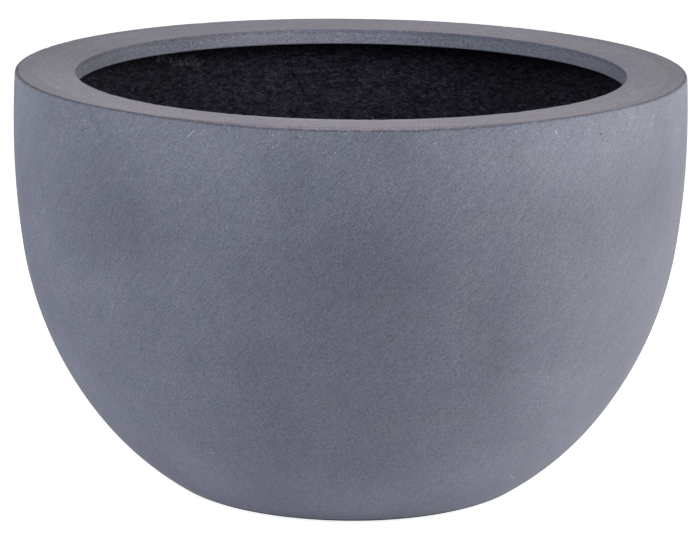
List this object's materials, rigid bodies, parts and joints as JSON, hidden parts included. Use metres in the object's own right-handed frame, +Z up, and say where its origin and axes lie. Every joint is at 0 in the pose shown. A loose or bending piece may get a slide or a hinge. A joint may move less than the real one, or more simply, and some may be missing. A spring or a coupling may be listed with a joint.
{
  "type": "bowl planter",
  "caption": "Round free-standing bowl planter with a wide flat rim turned down round its mouth, a rough dark lining, a flat base and a rubber plug in its drain hole.",
  "frame": {"origin": "centre of the flat base, on the floor that the bowl stands on", "axes": "+Z up along the bowl's axis of symmetry, towards the rim; +X and +Y are any two square directions, because the bowl is round"},
  "size_m": [0.5999, 0.6, 0.3699],
  "materials": {
    "grey_cement": "matte",
    "black_laminate": "matte",
    "plug_rubber": "matte"
  },
  "bodies": {
    "bowl": {"shell": "grey_cement", "lining": "black_laminate"},
    "plug": {"drain_plug": "plug_rubber"}
  },
  "joints": [
    {"name": "plug_lift", "type": "slide", "parent": "bowl", "child": "plug", "axis": [0, 0, 1], "range_m": [0, 0.4]}
  ]
}
